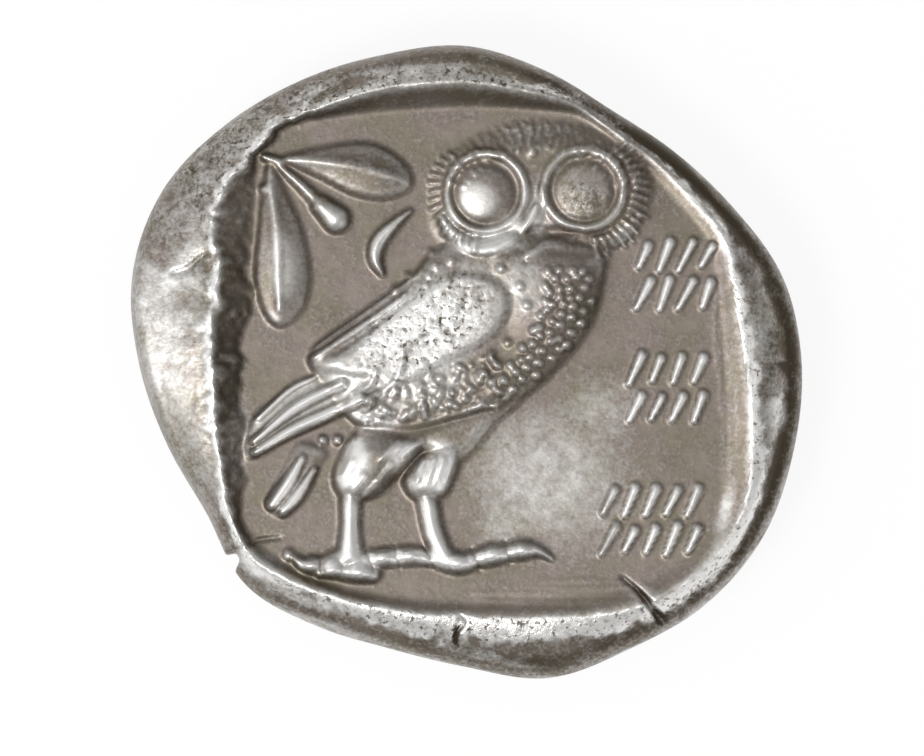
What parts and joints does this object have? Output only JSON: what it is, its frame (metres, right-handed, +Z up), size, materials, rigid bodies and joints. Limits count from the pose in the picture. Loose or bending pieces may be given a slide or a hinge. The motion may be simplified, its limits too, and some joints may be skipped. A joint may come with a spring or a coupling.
{
  "type": "ancient silver coin",
  "caption": "Thick struck silver coin with an owl, an olive sprig and a crescent in a sunk square, lying owl side up.",
  "frame": {"origin": "on the table, under the middle of the coin's outline", "axes": "+Z up out of the owl side, +Y towards the top of the owl's head, +X to the owl side's right"},
  "size_m": [0.025, 0.0236, 0.006],
  "materials": {
    "silver": "worn, toned silver with darker recesses and bright high points"
  },
  "bodies": {
    "root": {"coin": "silver"}
  },
  "joints": []
}
